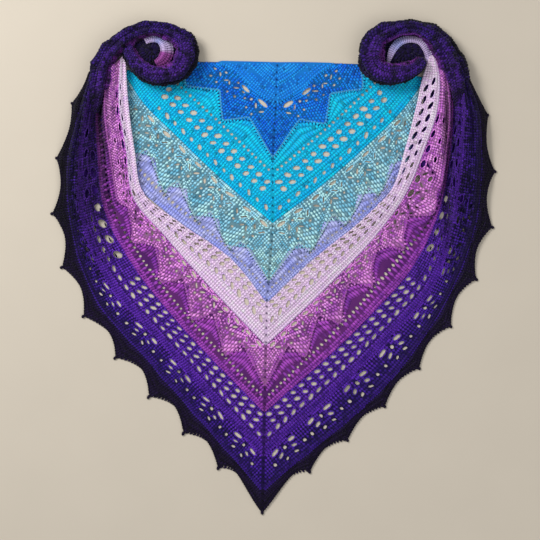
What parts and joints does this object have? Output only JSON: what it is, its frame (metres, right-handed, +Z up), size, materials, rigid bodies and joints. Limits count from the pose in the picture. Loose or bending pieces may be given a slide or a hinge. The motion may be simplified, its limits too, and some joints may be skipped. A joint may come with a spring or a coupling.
{
  "type": "crocheted triangular shawl",
  "caption": "Triangular crocheted lace shawl laid flat, its wings gathered at the sides and coiled on the top corners.",
  "frame": {"origin": "middle of the underside, on the surface that the shawl lies on", "axes": "+Z up, +Y towards the neck edge, +X towards the viewer's right as seen from above"},
  "size_m": [0.6738, 0.7468, 0.0337],
  "materials": {
    "blue_yarn": "matte cotton yarn, crocheted",
    "turquoise_yarn": "matte cotton yarn, crocheted",
    "aqua_yarn": "matte variegated cotton yarn, crocheted",
    "lavender_yarn": "matte cotton yarn, crocheted",
    "lilac_yarn": "matte cotton yarn, crocheted",
    "pink_yarn": "matte cotton yarn, crocheted",
    "magenta_yarn": "matte cotton yarn, crocheted",
    "purple_yarn": "matte cotton yarn, crocheted",
    "violet_yarn": "matte cotton yarn, crocheted",
    "black_yarn": "matte cotton yarn, crocheted"
  },
  "bodies": {
    "root": {"blue_rows": "blue_yarn", "blue_fans": "blue_yarn", "turquoise_mesh": "turquoise_yarn", "aqua_fans": "aqua_yarn", "lavender_rows": "lavender_yarn", "lilac_mesh": "lilac_yarn", "pink_fans": "pink_yarn", "magenta_rows": "magenta_yarn", "purple_mesh": "purple_yarn", "violet_fans": "violet_yarn", "black_edging": "black_yarn", "left_gather_core": "violet_yarn", "right_gather_core": "violet_yarn", "left_coil": "violet_yarn", "right_coil": "violet_yarn", "left_tip": "black_yarn", "right_tip": "violet_yarn", "left_coil_tongue": "lilac_yarn", "right_coil_strip": "lilac_yarn"}
  },
  "joints": []
}
